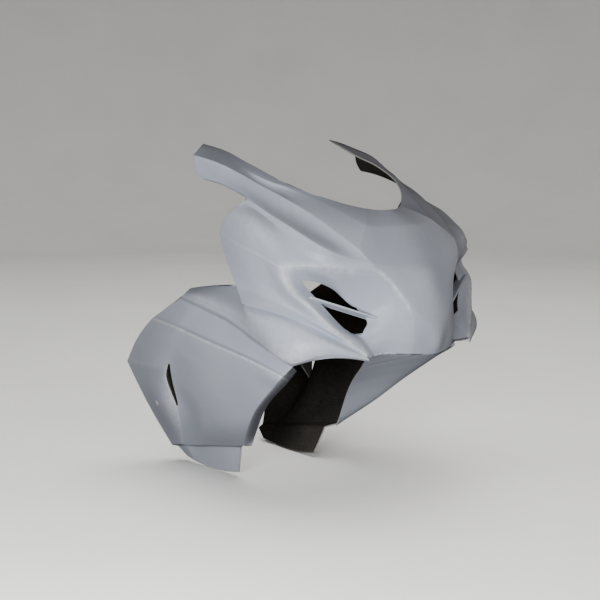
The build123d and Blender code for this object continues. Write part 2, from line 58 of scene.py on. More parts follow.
# Nodes of the right-hand half, row by row, each row from the tail to the nose. The left-hand half is its mirror image.
# UPPER: r0 screen edge, r1 upper crease, r2 ridge, r3 brow over the intake, r4 to r6 intake, r7 chin crease, r8 lower edge.
UPPER = {
    "r0": [(-83.7, -149.5, 279), (-46.5, -137.5, 270.3), (12.1, -132.9, 251.1), (49.2, -133.6, 240.1), (77.3, -130.6, 229.7), (105.2, -123.3, 219.2), (137.9, -106.7, 206.3), (165.1, -85.3, 194.6), (188.1, -60, 184.8), (205.2, -38, 179), (215.5, -16, 175.9), (217.9, 0, 176.3)],
    "r0b": [(-69.8, -169, 272.2), (-26.9, -155.4, 262.2), (35.9, -151.8, 238.6), (68.2, -150.9, 228.5), (92.1, -144.4, 220.3), (113.7, -131.9, 213.5), (145, -115.3, 200.6), (177, -99.8, 186.4), (209.6, -85.2, 171.5), (241.8, -76.4, 156.7), (251.8, -36.5, 152.8), (254.2, 0, 153.8)],
    "r0c": [(-62.9, -180.7, 266.8), (-12.9, -168.7, 255.5), (43.6, -158.1, 233.4), (70, -152.5, 222.7), (93.9, -146, 214.5), (116.6, -134.5, 208.3), (152.1, -124, 194.2), (187.4, -112.8, 178.1), (220.9, -100.6, 162.1), (252.5, -91.5, 141.7), (264.3, -47, 133.8), (267.6, 0, 136.4)],
    "r1": [(-56.8, -191.9, 261.4), (0.2, -181.4, 249), (52.2, -166.4, 228.4), (77.9, -160.2, 217.2), (103.2, -154.1, 207.2), (133.4, -150.4, 196.1), (168.1, -142.8, 180.7), (203.1, -134, 162.2), (235.8, -123.6, 142.2), (264.3, -111.8, 122.1), (274.5, -55, 115.3), (281.1, 0, 119)],
    "r1b": [(-52.4, -191.4, 236.4), (9.1, -182.4, 228.7), (61.9, -174.6, 212), (86.3, -169.6, 201.7), (112.6, -164.4, 190), (143.3, -160.2, 178.8), (178, -152.8, 162.4), (215.3, -143.1, 143.2), (245.9, -126.7, 126.4), (273, -107.1, 110.7), (284.7, -54, 104.9), (290, 0, 106.7)],
    "r2": [(-35.5, -185.6, 220.1), (25.8, -187.5, 211.9), (77.8, -187.9, 196.5), (105.5, -186.9, 185.8), (136.9, -185.4, 172.7), (169.1, -184.1, 161.3), (203.5, -176.9, 145.1), (239.8, -163.8, 126.4), (259.6, -133.2, 111.3), (279.2, -102.2, 102.2), (291.7, -52, 94.3), (298.9, 0, 94.5)],
    "r2a": [None, None, (74.3, -193.4, 189.6), (106.1, -189.5, 178.3), (138.3, -188.7, 164.4), (173.1, -189.7, 147.1), (208.3, -183.3, 127.5), (243.4, -167.1, 114.5), (262.5, -132.7, 103.2), (283.2, -97.3, 95.1), (295.6, -50.3, 88.1), (302.8, 0, 88.4)],
    "r2b": [None, None, (55.4, -204.4, 174.1), (118.5, -208.4, 161.7), (152.5, -208.2, 143.6), (183.6, -201.1, 123.6), (212.8, -186.4, 112.5), (244.2, -165.6, 104.3), (263.7, -130.6, 95.3), (286.8, -92, 89.4), (299, -48, 81.9), (306.7, 0, 82.3)],
    "r3": [None, None, (34, -207.4, 139.1), (94.5, -214.8, 121.7), (144.1, -214.8, 110.1), (188.9, -212, 96.7), (213.8, -192.5, 99), (244.7, -168.3, 99.1), (263, -127.7, 89.5), (292.5, -82, 80.4), (305.3, -43, 70.1), (313.6, 0, 66.9)],
    "r4": [None, None, (42, -207.9, 111.7), (109.7, -215.1, 97.3), (159.3, -211.3, 82.6), (199.5, -204.8, 72), (203.3, -178.9, 73.9), (220.2, -134.3, 59.4), (250.3, -105.9, 27.8), (301, -68, 61.7), (313, -37, 52), (320.5, 0, 46.6)],
    "r5": [None, None, (53.1, -208.6, 91.3), (124.3, -212.9, 74.4), (163.9, -207.1, 62.8), (232, -192.2, 43), (229, -164.1, 41.2), None, (265.7, -96.4, 4.5), (309.1, -58, 44.1), (320.4, -33, 31.6), (326.9, 0, 24.6)],
    "r6": [None, None, (67.8, -210.2, 71.6), (141.8, -211.1, 56.8), (180.7, -202.9, 43.6), (254.6, -166.5, 9.1), (253.9, -134.5, -1.5), (255.6, -117.4, -11.1), (266.8, -106.2, -10.2), (316.1, -49, 23.2), (325.9, -28, 9.2), (331.1, 0, 2.5)],
    "r7": [None, None, (82.4, -211.8, 50.2), (161.3, -209.1, 41.1), (197.5, -198.9, 29.2), (275.2, -143, -17.1), (277.5, -123.3, -20.3), (276.4, -109, -24.5), (282.7, -95.3, -20.5), (318.9, -44, -28.4), (324.2, -24, -33.5), (330.2, 0, -37.8)],
    "r7b": [None, None, (84, -207, 35.1), (169.1, -202.9, 27.6), (203.7, -192.9, 19), (285.8, -131, -30.5), (288.4, -119.5, -33.9), (285.5, -106.6, -36.9), (286.3, -93.3, -35.7), (316.3, -45.2, -39.8), (323.2, -23.4, -42.8), (327.3, 0, -45.6)],
    "r8": [None, None, (85.8, -204.4, 25.2), (170.1, -195.8, 17.5), (206.5, -185.9, 9.8), (292.9, -123, -39.4), (295.7, -117, -43), (291.5, -105, -45.2), (288.7, -92, -45.8), (314.6, -46, -47.4), (322.5, -23, -49), (325.3, 0, -50.8)],
}
BAND = {
    "v0": [(-94.3, -173.7, 28.5), (-70.8, -167.5, 33.5), (-53.4, -165.7, 36.6), (37.9, -158.3, 48.4), (85.8, -204.4, 25.2), (170.1, -195.8, 17.5), (206.5, -185.9, 9.8), (292.9, -123, -39.4)],
    "v0b": [(-93.6, -179.7, 24.8), (-56.4, -183, 28.4), (-35.1, -183.3, 29.1), (57.7, -187.7, 23.3), (111.3, -216.1, 15.6), (189.2, -208.3, 9.4), (228.7, -189.1, -2), (293.6, -121.5, -42.2)],
    "v1": [(-94.4, -184.6, 20.8), (-46.7, -194.9, 22.1), (-22.8, -196.2, 19.8), (64.4, -201.8, 9), (129.6, -220, 3), (204.2, -213.3, -11.8), (249.6, -185.1, -16.2), (294.8, -120.5, -45)],
    "v1c": [(-102.3, -186.4, 15.4), (-47, -197.8, 12.5), (-23.4, -199.1, 9.1), (56, -203.7, -4.3), (135.1, -213.9, -26.6), (215.9, -210.8, -52.7), (259, -179, -34.5), (295.6, -119.7, -48.4)],
    "v2": [(-115.1, -180.2, 10.9), (-65.3, -185.2, 4), (-43.3, -184.9, -0.2), (34.8, -188.6, -13.2), (119, -198.7, -35.5), (208.4, -202.4, -60.5), (255.3, -173.3, -44.6), (295.6, -119, -49.9)],
}
SIDE = {
    "v2": [(-115.1, -180.2, 10.9), (-65.3, -185.2, 4), (-43.3, -184.9, -0.2), (34.8, -188.6, -13.2), (119, -198.7, -35.5), (208.4, -202.4, -60.5), (85.6, -84, -103.7)],
    "v2c": [(-193, -182.9, -34.6), (-96.6, -198.7, -36.9), (-73.8, -198.4, -40), (11.6, -200.1, -50.9), (104.2, -201.4, -62.7), (186.4, -202.8, -77.8), (69.7, -87.4, -122.9)],
    "v3": [(-197, -182.9, -36.8), (-95.8, -202, -39.2), (-71.4, -203, -42), (15.7, -206, -52.7), (109.6, -208, -64.6), (187.3, -207, -79.4), (66.9, -88, -126.3)],
    "v3b": [(-255.9, -175.7, -82.7), (-124.6, -196.6, -77.8), (-103.9, -196.7, -78.4), (-2, -199, -92.5), (80.4, -199, -101.4), (151.4, -197, -106.5), (47.9, -92, -145.7)],
    "v4": [(-301.9, -167.7, -134.3), (-142.1, -188.9, -112.3), (-138.2, -188.1, -110.7), (-25.3, -190, -130.7), (54.8, -189, -132.8), (114.5, -187, -134.5), (29.8, -97, -165.8)],
    "v4b": [(-288.6, -161.6, -162), (-157.1, -182.3, -136.6), (-144.9, -180, -137.7), (-43, -181, -160), (30.1, -180, -161.1), (84.5, -177, -158.5), (17.1, -100, -185.5)],
    "v5": [(-266.1, -148.8, -210.3), (-151.2, -165, -193.9), (-150.5, -161.7, -194), (-63, -166, -200.2), (-1, -164, -199.5), (44.4, -158, -195.3), (2.9, -102, -216.7)],
    "v6": [(-237.1, -113.4, -294.6), (-195.1, -121.2, -283.2), (-186.9, -119.1, -283.2), (-117.5, -120, -269.4), (-63.4, -119, -259.2), (-20.3, -115, -251.7), (-11.4, -104, -251.9)],
    "v6b": [(-234.3, -101, -298.4), (-193.1, -108.2, -287.2), (-184.9, -106.1, -287.2), (-115.5, -107, -273.4), (-71.4, -106.5, -265.2), (-42.3, -103, -260.7), None],
    "v7": [(-214.1, -95.7, -314.7), (-187.5, -97, -318.5), (-178.3, -97, -319.4), (-138.4, -95, -321.7), (-95.3, -94, -319.1), (-61.8, -93, -312.8), None],
}


def unit(v):
    n = np.linalg.norm(v)
    return v / n if n > 1e-9 else v


class Sheet:
    """A net of nodes in rows and columns. Each present cell is one bicubic patch, and neighbours share their edge curves."""

    def __init__(self, table, row_crease, col_crease, gone):
        self.rows = list(table)
        self.n, self.m = len(self.rows), len(table[self.rows[0]])
        self.P = [[None if p is None else np.array(p, float) for p in table[r]] for r in self.rows]
        self.rc, self.cc = row_crease, col_crease
        self.cells = [
            (i, j)
            for i in range(self.n - 1)
            for j in range(self.m - 1)
            if (i, j) not in gone and all(self.P[a][b] is not None for a, b in ((i, j), (i + 1, j), (i, j + 1), (i + 1, j + 1)))
        ]

    def line_tangents(self, pts, weight):
        """Left and right tangents per unit length along one line of nodes, with None where the line is broken."""
        n = len(pts)
        left, right = [None] * n, [None] * n
        k = 0
        while k < n:
            if pts[k] is None:
                k += 1
                continue
            e = k
            while e + 1 < n and pts[e + 1] is not None:
                e += 1
            self._run(pts, weight, k, e, left, right)
            k = e + 1
        return left, right

    def _run(self, pts, weight, a, b, left, right):
        if a == b:
            left[a] = right[a] = np.zeros(3)
            return

        def solve(k0, k1):
            h = [max(np.linalg.norm(pts[k + 1] - pts[k]), 1e-6) for k in range(k0, k1)]
            d = [(pts[k0 + q + 1] - pts[k0 + q]) / h[q] for q in range(len(h))]
            t = [None] * (k1 - k0 + 1)
            for q in range(1, k1 - k0):
                t[q] = (d[q - 1] * h[q] + d[q] * h[q - 1]) / (h[q - 1] + h[q])
            if k1 - k0 == 1:
                t[0] = t[1] = d[0]
            else:
                t[0] = 1.5 * d[0] - 0.5 * t[1]
                t[-1] = 1.5 * d[-1] - 0.5 * t[-2]
            return t

        smooth = solve(a, b)
        cuts = [a] + [k for k in range(a + 1, b) if weight(k) > 0] + [b]
        one_l, one_r = {}, {}
        for k0, k1 in zip(cuts[:-1], cuts[1:]):
            t = solve(k0, k1)
            for q, k in enumerate(range(k0, k1 + 1)):
                one_l[k] = t[q] if k > k0 else one_l.get(k, t[q])
                if k < k1 or k == b:
                    one_r[k] = t[q]
        for k in range(a, b + 1):
            w = weight(k) if a < k < b else 0.0
            s = smooth[k - a]
            if k == a:
                left[k] = right[k] = one_r[k]
            elif k == b:
                left[k] = right[k] = one_l[k]
            else:
                left[k] = (1 - w) * s + w * one_l[k]
                right[k] = (1 - w) * s + w * one_r[k]

    def solve_tangents(self):
        # along rows (column direction) and along columns (row direction)
        self.ur = [self.line_tangents(self.P[i], lambda k, i=i: self.cc(i, k)) for i in range(self.n)]
        self.vc = [self.line_tangents([self.P[i][j] for i in range(self.n)], lambda k, j=j: self.rc(k, j)) for j in range(self.m)]

    def patch(self, i, j):
        """4 x 4 control points of one cell, first index down the rows, second along the columns."""
        P = self.P
        b = [[None] * 4 for _ in range(4)]
        b[0][0], b[0][3], b[3][0], b[3][3] = P[i][j], P[i][j + 1], P[i + 1][j], P[i + 1][j + 1]
        for r, (row, k) in enumerate(((i, 0), (i + 1, 3))):
            h = np.linalg.norm(P[row][j + 1] - P[row][j]) / 3
            b[k][1] = P[row][j] + self.ur[row][1][j] * h
            b[k][2] = P[row][j + 1] - self.ur[row][0][j + 1] * h
        for col, k in ((j, 0), (j + 1, 3)):
            h = np.linalg.norm(P[i + 1][col] - P[i][col]) / 3
            b[1][k] = P[i][col] + self.vc[col][1][i] * h
            b[2][k] = P[i + 1][col] - self.vc[col][0][i + 1] * h
        b[1][1] = b[0][1] + b[1][0] - b[0][0]
        b[1][2] = b[0][2] + b[1][3] - b[0][3]
        b[2][1] = b[3][1] + b[2][0] - b[3][0]
        b[2][2] = b[3][2] + b[2][3] - b[3][3]
        return b

# ---------------------------------------------------------------- the skin as a fine mesh
UPPER_ROW_CREASE = {
    "r0b": [0, 0, 0.3, 0.8, 0.8, 0.6, 0.3, 0, 0, 0, 0, 0],
    "r1": [1, 1, 1, 1, 1, 1, 0.85, 0.7, 0.5, 0.3, 0, 0],
    "r2": [0, 0, 0.7, 0.9, 0.9, 0.9, 0.8, 0.5, 0.2, 0, 0, 0],
    "r2a": [0, 0, 0.7, 0.9, 0.9, 0.8, 0.6, 0.2, 0, 0, 0, 0],
    "r3": [0, 0, 0.2, 0.4, 0.7, 1, 0.8, 0.6, 0.4, 0, 0, 0],
    "r7": [0, 0, 0, 0, 0, 0, 0, 0, 0.6, 0.6, 0.4, 0.3],
}
UPPER_COL_CREASE = {
    5: {"r3": 0.5, "r4": 0.2, "r5": 0.1, "r6": 0.1, "r7": 0.3, "r7b": 0.7, "r8": 1},
    9: {"r1": 0.5, "r1b": 0.7, "r2": 0.7, "r2a": 0.7, "r2b": 0.7, "r3": 0.7, "r4": 0.65, "r5": 0.55, "r6": 0.35, "r7": 0.1},
}
SIDE_ROW_CREASE = {"v2c": 0.7, "v3": 0.9, "v6": 1, "v6b": 1}
SIDE_COL_CREASE = {1: 0.4, 2: 0.4, 5: 0.5}
SLIT_CELLS = {(4, 1), (5, 1)}
LOUVRE = np.array([-11.4, 34.5, -5.0])
UPPER_ROWS, BAND_ROWS, SIDE_ROWS = list(UPPER), list(BAND), list(SIDE)


def upper_rc(i, j):
    return UPPER_ROW_CREASE.get(UPPER_ROWS[i], [0] * 12)[min(j, 22 - j)]


def upper_cc(i, j):
    return UPPER_COL_CREASE.get(min(j, 22 - j), {}).get(UPPER_ROWS[i], 0)


def band_rc(i, j):
    if BAND_ROWS[i] == "v1":
        return (0.4, 0.4, 0.4, 0.3, 0, 0, 0, 0)[j]
    return 0.4 if BAND_ROWS[i] == "v1c" else 0


def band_cc(i, j):
    if BAND_ROWS[i] == "v0":
        return 1 if j in (3, 4) else 0
    if BAND_ROWS[i] == "v2":
        return 1 if j == 5 else 0
    return 0


def side_rc(i, j):
    if SIDE_ROWS[i] == "v4":
        return 1 if j == 0 else 0
    if SIDE_ROWS[i] == "v3" and j >= 5:
        return 0.5 if j == 5 else 0
    return SIDE_ROW_CREASE.get(SIDE_ROWS[i], 0)


def side_cc(i, j):
    if SIDE_ROWS[i] == "v2":
        return 1 if j == 5 else 0
    return SIDE_COL_CREASE.get(j, 0)


def moved(t):
    return {r: [None if p is None else tuple(np.array(p) - ORIGIN) for p in row] for r, row in t.items()}


up, band, side = moved(UPPER), moved(BAND), moved(SIDE)
other = {r: [None if p is None else (p[0], -p[1], p[2]) for p in reversed(up[r][:-1])] for r in up}
sheet_u = Sheet({r: up[r] + other[r] for r in up}, upper_rc, upper_cc, set())
sheet_b = Sheet(band, band_rc, band_cc, set())
sheet_s = Sheet(side, side_rc, side_cc, SLIT_CELLS)
for s in (sheet_u, sheet_b, sheet_s):
    s.solve_tangents()

STEP = 5.2                     # mesh spacing, mm


def gaps(sheet, axis):
    """How many divisions each gap between rows (axis 0) or columns (axis 1) gets."""
    out = []
    for k in range((sheet.n if axis == 0 else sheet.m) - 1):
        d = []
        for o in range(sheet.m if axis == 0 else sheet.n):
            a, b = (sheet.P[k][o], sheet.P[k + 1][o]) if axis == 0 else (sheet.P[o][k], sheet.P[o][k + 1])
            if a is not None and b is not None:
                d.append(np.linalg.norm(a - b))
        out.append(int(min(18, max(2, round((0.5 * max(d) + 0.5 * sum(d) / len(d)) / STEP)))))
    return out


ku, kv = gaps(sheet_u, 1), gaps(sheet_u, 0)
kb, kbv = gaps(sheet_b, 1), gaps(sheet_b, 0)
ks, ksv = gaps(sheet_s, 1), gaps(sheet_s, 0)
for a, b in ((2, 4), (3, 5), (4, 6)):
    kb[b] = ku[a] = max(kb[b], ku[a])
for a in range(5):
    ks[a] = kb[a] = max(ks[a], kb[a])
for a in range(11):
    ku[a] = ku[21 - a] = max(ku[a], ku[21 - a])
TIGHT = 1.7                    # the first division beside a crease, mm


def places(count, length, first, last):
    """Where the divisions of one gap are, from 0 to 1, with one more beside each creased end."""
    t = [k / count for k in range(count + 1)]
    d = min(0.3 / count, TIGHT / length) if TIGHT / length < 0.6 / count else 0.45 / count
    if first:
        t.insert(1, d)
    if last:
        t.insert(len(t) - 1, 1 - d)
    return t


def lengths(sheet, axis):
    out = []
    for k in range((sheet.n if axis == 0 else sheet.m) - 1):
        d = []
        for o in range(sheet.m if axis == 0 else sheet.n):
            a, b = (sheet.P[k][o], sheet.P[k + 1][o]) if axis == 0 else (sheet.P[o][k], sheet.P[o][k + 1])
            if a is not None and b is not None:
                d.append(np.linalg.norm(a - b))
        out.append(sum(d) / len(d))
    return out


def spots(sheet, counts, axis, sharp):
    ln = lengths(sheet, axis)
    return [places(c, ln[k], k in sharp, k + 1 in sharp) for k, c in enumerate(counts)]


def rows_in(rows, names):
    return {k for k, r in enumerate(rows) if r in names}


tu = spots(sheet_u, ku, 1, {5, 9, 13, 17})
tuv = spots(sheet_u, kv, 0, rows_in(UPPER_ROWS, ("r0b", "r1", "r2", "r2a", "r3", "r7", "r8")))
tb = spots(sheet_b, kb, 1, set())
tbv = spots(sheet_b, kbv, 0, rows_in(BAND_ROWS, ("v0", "v2")))
ts = spots(sheet_s, ks, 1, {5})
tsv = spots(sheet_s, ksv, 0, rows_in(SIDE_ROWS, ("v2", "v3", "v6", "v6b")))
for a, b in ((2, 4), (3, 5), (4, 6)):
    tb[b] = tu[a]
for a in range(5):
    ts[a] = tb[a]
for a in range(11):
    tu[21 - a] = [1 - t for t in reversed(tu[a])]

verts, index, quads = [], {}, []
mark = {}                      # vertex -> feature names


def vid(p):
    k = (round(p[0] * 50), round(p[1] * 50), round(p[2] * 50))
    for dx in (0, -1, 1):
        for dy in (0, -1, 1):
            for dz in (0, -1, 1):
                q = (k[0] + dx, k[1] + dy, k[2] + dz)
                if q in index:
                    return index[q]
    index[k] = len(verts)
    verts.append(np.array(p, float))
    return index[k]


def bern(t):
    return np.array([(1 - t) ** 3, 3 * t * (1 - t) ** 2, 3 * t * t * (1 - t), t ** 3])


def add_sheet(sheet, kr, kc, rows, tag, hand):
    for i, j in sheet.cells:
        b = np.array(sheet.patch(i, j))
        if hand < 0:
            b = b * np.array([1, -1, 1])
        nv, nu = len(kr[i]) - 1, len(kc[j]) - 1
        bv = np.array([bern(t) for t in kr[i]])
        bu = np.array([bern(t) for t in kc[j]])
        pts = np.einsum("ai,bj,ijk->abk", bv, bu, b)
        ids = [[vid(pts[a][c]) for c in range(nu + 1)] for a in range(nv + 1)]
        for a in range(nv):
            for c in range(nu):
                q = (ids[a][c], ids[a + 1][c], ids[a + 1][c + 1], ids[a][c + 1])
                quads.append(q if hand > 0 else q[::-1])
        for a in range(nv + 1):
            for c in range(nu + 1):
                m = mark.setdefault(ids[a][c], {})
                m.setdefault("zone", tag)
                if a in (0, nv):
                    r = i if a == 0 else i + 1
                    t = kc[j][c]
                    w = (1 - t) * sheet.rc(r, j) + t * sheet.rc(r, j + 1)
                    m[tag + rows[r]] = max(m.get(tag + rows[r], 0), w)
                if c in (0, nu):
                    cc = j if c == 0 else j + 1
                    t = kr[i][a]
                    w = (1 - t) * sheet.cc(i, cc) + t * sheet.cc(i + 1, cc)
                    key_c = tag + "c%d" % (min(cc, 22 - cc) if tag == "u" else cc)
                    m[key_c] = max(m.get(key_c, 0), w)


add_sheet(sheet_u, tuv, tu, UPPER_ROWS, "u", 1)
add_sheet(sheet_b, tbv, tb, BAND_ROWS, "b", 1)
add_sheet(sheet_s, tsv, ts, SIDE_ROWS, "s", 1)
add_sheet(sheet_b, tbv, tb, BAND_ROWS, "b", -1)
add_sheet(sheet_s, tsv, ts, SIDE_ROWS, "s", -1)


def louvre(sheet, i, j, tip):
    """Two patches in the slit, hinged on its rear edge, with the free edge turned in to tip."""
    two = [sheet.patch(i, j), sheet.patch(i + 1, j)]
    along = two[1][3][3] - two[0][0][3]
    along = along / np.linalg.norm(along)
    for b, end, at, sign in ((two[0], 0, 3, -1), (two[1], 3, 0, 1)):
        far, fixed = b[end][3], b[at][0]
        h = np.linalg.norm(tip - far) / 3
        b[at][3] = tip
        for c in (1, 2):
            b[at][c] = fixed + (tip - fixed) * c / 3
        b[2 if at == 3 else 1][3] = tip + along * h * sign
        b[1 if at == 3 else 2][3] = far + (tip - far) / 3
        b[1][1] = b[0][1] + b[1][0] - b[0][0]
        b[1][2] = b[0][2] + b[1][3] - b[0][3]
        b[2][1] = b[3][1] + b[2][0] - b[3][0]
        b[2][2] = b[3][2] + b[2][3] - b[3][3]
    return two


lip_quads = set()              # quads of the lip turned in at each slit
for hand in (1, -1):
    for k, b in enumerate(louvre(sheet_s, 4, 1, np.array(sheet_s.P[5][1]) + LOUVRE)):
        b = np.array(b) * np.array([1, hand, 1])
        bv = np.array([bern(t) for t in tsv[4 + k]])
        bu = np.array([bern(t) for t in ts[1]])
        grid = np.einsum("ai,bj,ijk->abk", bv, bu, b)
        ids = [[vid(grid[a][c]) for c in range(len(bu))] for a in range(len(bv))]
        for a in range(len(bv) - 1):
            for c in range(len(bu) - 1):
                q = (ids[a][c], ids[a + 1][c], ids[a + 1][c + 1], ids[a][c + 1])
                lip_quads.add(len(quads))
                quads.append(q if hand > 0 else q[::-1])
        for row in ids:
            for v in row:
                mark.setdefault(v, {"zone": "s"})["slit"] = 1.0

X0 = np.array(verts)
quads = np.array(quads)
N = len(X0)
pairs = np.concatenate([quads[:, [0, 1]], quads[:, [1, 2]], quads[:, [2, 3]], quads[:, [3, 0]]])
srt = np.sort(pairs, axis=1)
uniq, inv, cnt = np.unique(srt, axis=0, return_inverse=True, return_counts=True)
border_edges = uniq[cnt == 1]
border = np.zeros(N, bool)
border[border_edges.ravel()] = True
E0, E1 = uniq[:, 0], uniq[:, 1]
pull = 1.0 / np.maximum(np.linalg.norm(X0[E0] - X0[E1], axis=1), 0.4)
deg = np.bincount(E0, weights=pull, minlength=N) + np.bincount(E1, weights=pull, minlength=N)
print("skin mesh", N, "points", len(quads), "quads", "border", border.sum(), "over-used edges", (cnt > 2).sum())


def mean_of_neighbours(x):
    out = np.empty_like(x)
    for k in range(x.shape[1]):
        out[:, k] = np.bincount(E0, weights=pull * x[E1, k], minlength=N) + np.bincount(E1, weights=pull * x[E0, k], minlength=N)
    return out / deg[:, None]


crease = np.zeros(N)
for v, m in mark.items():
    crease[v] = max([x for k, x in m.items() if k != "zone"] + [0])
# the fold between the middle panel and the side panel, and the step under the groove
for v, m in mark.items():
    if "ur8" in m and "bv0" in m:
        # it dies out towards the tip of the lip
        crease[v] = 0.95 * float(np.clip((-60.0 - X0[v][0]) / 60.0, 0.0, 1.0))
    if "bv2" in m and "sv2" in m:
        crease[v] = 0.95
    if "bv1c" in m or "sv2c" in m:
        crease[v] = max(crease[v], 0.7)

# Fairing: the creases and free edges hold still while the panels between them settle.
hold = border | (crease >= 0.6)
free = (~hold).astype(float)[:, None]
soft = np.clip(1 - crease / 0.6, 0, 1)[:, None]
X = X0.copy()
for k in range(FAIR):
    X += 0.50 * soft * free * (mean_of_neighbours(X) - X)
    X -= 0.51 * soft * free * (mean_of_neighbours(X) - X)
# The top of the nose, ahead of the wings' creases, is one even surface.
nose_hi, nose_lo = UPPER["r2"][9][2] - ORIGIN[2], UPPER["r3"][9][2] - ORIGIN[2]
crown = np.clip((X[:, 2] - nose_lo) / (nose_hi - nose_lo), 0, 1) * np.clip((140.0 - np.abs(X[:, 1])) / 45.0, 0, 1)
kept = crease * ((np.abs(X[:, 1]) > 108.0) | (X[:, 2] < nose_hi))
crown *= np.clip((X[:, 0] + 250.0) / 110.0, 0, 1) * (~border) * np.clip(1 - 1.5 * kept, 0, 1)
sub = np.nonzero((X[:, 2] > nose_lo - 40.0) & (np.abs(X[:, 1]) < 160.0) & (X[:, 0] > -290.0))[0]
local = np.full(N, -1)
local[sub] = np.arange(len(sub))
both = (local[E0] >= 0) & (local[E1] >= 0)
e0, e1, ew = local[E0[both]], local[E1[both]], pull[both][:, None]
dsub = np.bincount(e0, weights=ew[:, 0], minlength=len(sub)) + np.bincount(e1, weights=ew[:, 0], minlength=len(sub))
whole = ((np.abs(dsub - deg[sub]) < 1e-9) & ~border[sub])[:, None].astype(float)
dsub = np.maximum(dsub, 1e-9)[:, None]


def adjacent(z):
    out = np.zeros_like(z)
    for k in range(3):
        out[:, k] = np.bincount(e0, weights=ew[:, 0] * z[e1, k], minlength=len(sub)) + np.bincount(e1, weights=ew[:, 0] * z[e0, k], minlength=len(sub))
    return out


def plate(z):
    b = whole * (adjacent(z) / dsub - z)
    return adjacent(b / dsub) - b


cs = crown[sub][:, None]
moves = (cs > 0.02).astype(float)
hold_back = 0.0002 / np.maximum(cs, 0.02) ** 2
shift = np.zeros((len(sub), 3))
res = -moves * plate(X[sub])
step = res.copy()
rr = (res ** 2).sum()
for k in range(240):
    q = moves * (plate(step) + hold_back * step)
    a = rr / max((step * q).sum(), 1e-30)
    shift += a * step
    res -= a * q
    new = (res ** 2).sum()
    step = res + (new / max(rr, 1e-30)) * step
    rr = new
X[sub] += shift
print("crown moved at most", np.linalg.norm(shift, axis=1).max(), "mm")
# Rounding: a moulded crease has a radius.
inside = (~border).astype(float)[:, None]
for k in range(ROUND):
    X += 0.5 * inside * (mean_of_neighbours(X) - X)


def spread(w, n):
    w = w.copy()
    for _ in range(n):
        w = np.maximum(w, 0.8 * mean_of_neighbours(w[:, None])[:, 0])
    return w


valley = np.zeros(N)
for v, m in mark.items():
    if "ur8" in m and "bv0" in m:
        valley[v] = 1
valley = spread(valley, 6)
for k in range(1):
    X += 0.5 * inside * valley[:, None] * (mean_of_neighbours(X) - X)


# ---------------------------------------------------------------- the skin's outside, inside and trimmed edge
def point_normals(x, faces):
    d = np.cross(x[faces[:, 2]] - x[faces[:, 0]], x[faces[:, 3]] - x[faces[:, 1]])
    n = np.zeros_like(x)
    for c in range(4):
        for k in range(3):
            n[:, k] += np.bincount(faces[:, c], weights=d[:, k], minlength=len(x))
    return n / np.maximum(np.linalg.norm(n, axis=1), 1e-9)[:, None]


X[:, 1] = np.clip(X[:, 1], -221.40, 221.40)      # within the part's width
normal = point_normals(X, quads)
edge_set = {tuple(e) for e in border_edges}
border_dir = []                # border edges in the order of the face that owns them
for q in quads:
    for a, b in ((q[0], q[1]), (q[1], q[2]), (q[2], q[3]), (q[3], q[0])):
        if (min(a, b), max(a, b)) in edge_set:
            border_dir.append((a, b))
border_dir = np.array(border_dir)
away = np.zeros((N, 3))
for a, b in border_dir:
    o = np.cross(X[b] - X[a], normal[a] + normal[b])
    o /= max(np.linalg.norm(o), 1e-9)
    away[a] += o
    away[b] += o
ln = np.linalg.norm(away, axis=1)
away[ln > 1e-9] /= ln[ln > 1e-9][:, None]

# closeness to the trimmed edge, for wear; to a ridge, for rubbed wear and painted highlight; and to a fold, for dust
# and painted shade
bend = np.einsum("ij,ij->i", mean_of_neighbours(X) - X, normal)
bend[border] = 0
for _ in range(2):
    bend = 0.5 * bend + 0.5 * mean_of_neighbours(bend[:, None])[:, 0]
ridge = np.clip(-bend / 0.35, 0, 1)
fold = np.clip(bend / 0.35, 0, 1)
# drawn lines of the moulding: painted highlight along the crests and painted shade along the grooves, with some rubbing
# and dust
crest, groove = np.zeros(N), np.zeros(N)
for v, m in mark.items():
    if border[v]:
        continue
    crest[v] = max(1.7 * m.get("sv3", 0), 1.3 * m.get("uc9", 0), 1.5 * m.get("ur3", 0), 0.5 * m.get("ur1", 0),
                   0.6 if "bv1c" in m else 0,
                   0.9 if "sc1" in m and X0[v][2] < -205.0 else 0)
    groove[v] = max(1.7 if "bv2" in m and "sv2" in m else 0, 1.3 if "sv2c" in m else 0, 0.8 if "sv6" in m else 0,
                    0.3 * crease[v] if "ur8" in m and "bv0" in m else 0)
crest = np.maximum(crest, 0.9 * mean_of_neighbours(crest[:, None])[:, 0] * (groove == 0))
groove = np.maximum(groove, 0.9 * mean_of_neighbours(groove[:, None])[:, 0] * (crest < 0.5))
ridge, fold = np.maximum(ridge, crest), np.maximum(fold, groove)
# the rolled lip of each intake, the edge of its hood and the crease beside the nose get painted highlight over their
# whole crown, with some rubbing
lip_top = UPPER["r3"][5][2] - ORIGIN[2] + 2.0
hood_from, hood_to = UPPER["r3"][5][0] - ORIGIN[0] - 2.0, UPPER["r3"][8][0] - ORIGIN[0] + 2.0
crease_top, crease_end = UPPER["r2b"][9][2] - ORIGIN[2], UPPER["r6"][9][2] - ORIGIN[2]


def beside(seeds, reach, full):
    gap = np.full(N, 99.0)
    for v in seeds:
        gap = np.minimum(gap, np.linalg.norm(X - X[v], axis=1))
    return np.clip((reach - gap) / (reach - full), 0, 1)


